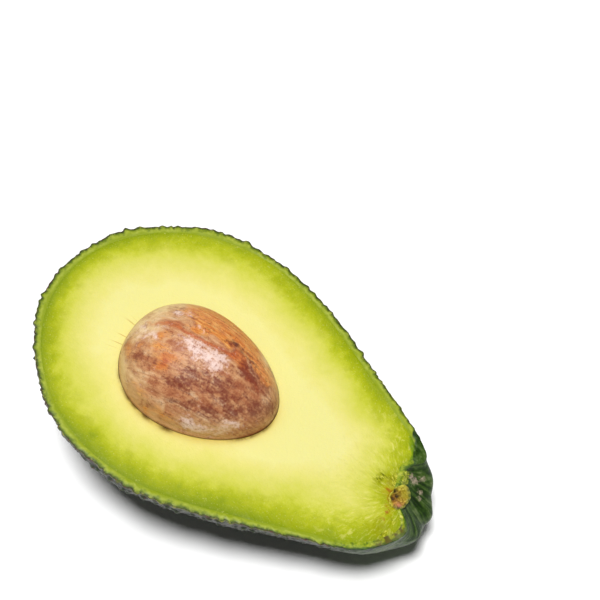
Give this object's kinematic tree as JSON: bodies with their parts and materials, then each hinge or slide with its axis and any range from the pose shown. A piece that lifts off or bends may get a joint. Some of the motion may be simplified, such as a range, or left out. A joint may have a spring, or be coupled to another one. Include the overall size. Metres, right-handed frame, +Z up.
{
  "type": "avocado",
  "caption": "Avocado cut in half lengthwise, lying on its pebbled peel, with its flesh and its stone in place.",
  "frame": {"origin": "centre of the small flat spot on the peel that the half rests on, at the surface it lies on", "axes": "+Z up from the surface; +X along the fruit toward the stem end, level; +Y across the fruit"},
  "size_m": [0.102, 0.0675, 0.0453],
  "materials": {
    "peel": "satin",
    "flesh": "satin",
    "stone": "satin",
    "stem_plug": "matte"
  },
  "bodies": {
    "root": {"peel": "peel", "flesh": "flesh", "stone": "stone", "stem_plug": "stem_plug"}
  },
  "joints": []
}
